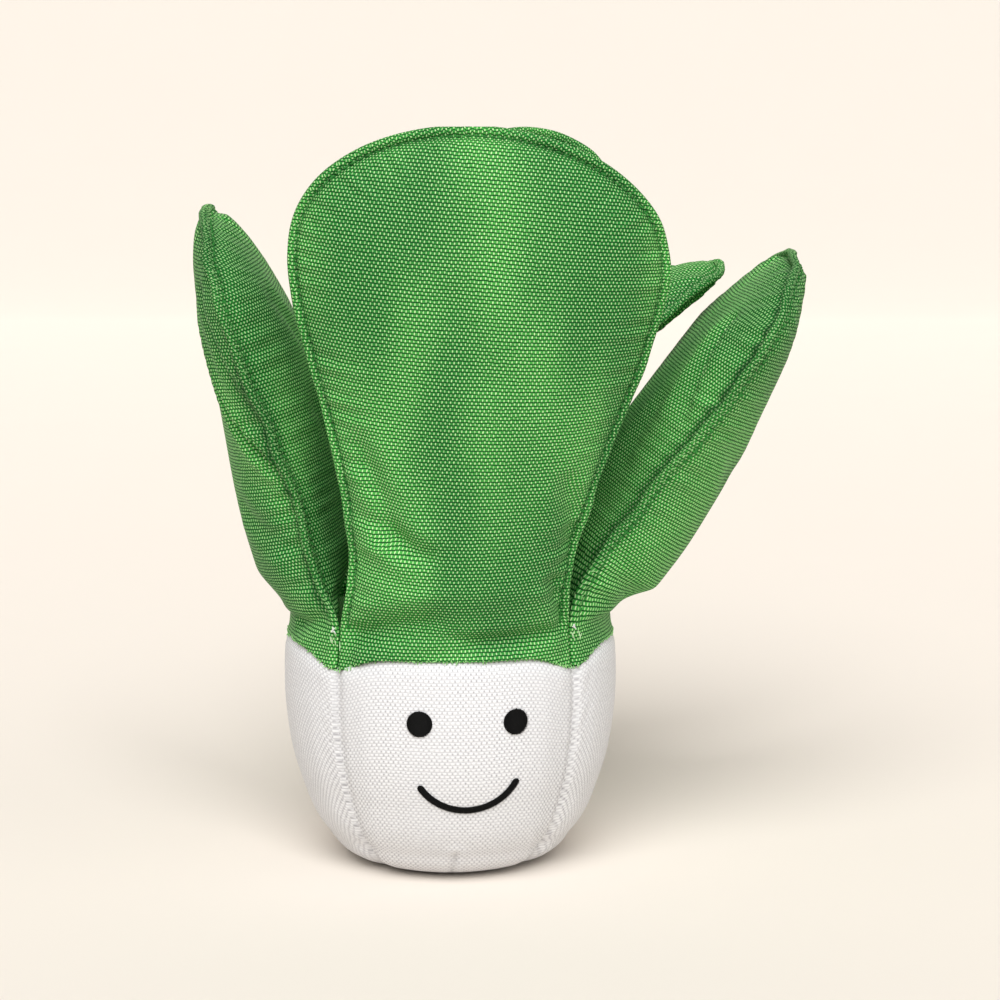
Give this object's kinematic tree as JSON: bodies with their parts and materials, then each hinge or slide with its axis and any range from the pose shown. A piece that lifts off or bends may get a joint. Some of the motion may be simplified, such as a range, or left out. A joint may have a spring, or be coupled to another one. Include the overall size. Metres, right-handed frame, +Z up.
{
  "type": "stuffed fabric bok choy toy",
  "caption": "Sewn cloth bok choy that stands upright: white padded bulb with a plain embroidered smile, and padded green leaves with topstitched rims opening round a small heart leaf.",
  "frame": {"origin": "centre of the flat bottom that the toy stands on, on the bulb's axis", "axes": "+Z up along the bulb's axis, -Y towards the smiling front, +X to the right as seen from the front"},
  "size_m": [0.1663, 0.1495, 0.2071],
  "materials": {
    "green_cloth": "coarse plain weave, satin filament yarn",
    "white_cloth": "coarse plain weave, satin filament yarn",
    "fibre_fill": "loose fibre",
    "black_thread": "satin-stitched thread"
  },
  "bodies": {
    "root": {"bulb_panel_front": "white_cloth", "bulb_panel_right": "white_cloth", "bulb_panel_back": "white_cloth", "bulb_panel_left": "white_cloth", "bulb_top_panel": "green_cloth", "bulb_stuffing": "fibre_fill", "leaf_front_outer": "green_cloth", "leaf_front_inner": "green_cloth", "leaf_front_wadding": "fibre_fill", "leaf_right_outer": "green_cloth", "leaf_right_inner": "green_cloth", "leaf_right_wadding": "fibre_fill", "leaf_back_outer": "green_cloth", "leaf_back_inner": "green_cloth", "leaf_back_wadding": "fibre_fill", "leaf_left_outer": "green_cloth", "leaf_left_inner": "green_cloth", "leaf_left_wadding": "fibre_fill", "heart_leaf_outer": "green_cloth", "heart_leaf_inner": "green_cloth", "heart_leaf_wadding": "fibre_fill", "eye_left": "black_thread", "eye_right": "black_thread", "smile": "black_thread"}
  },
  "joints": []
}
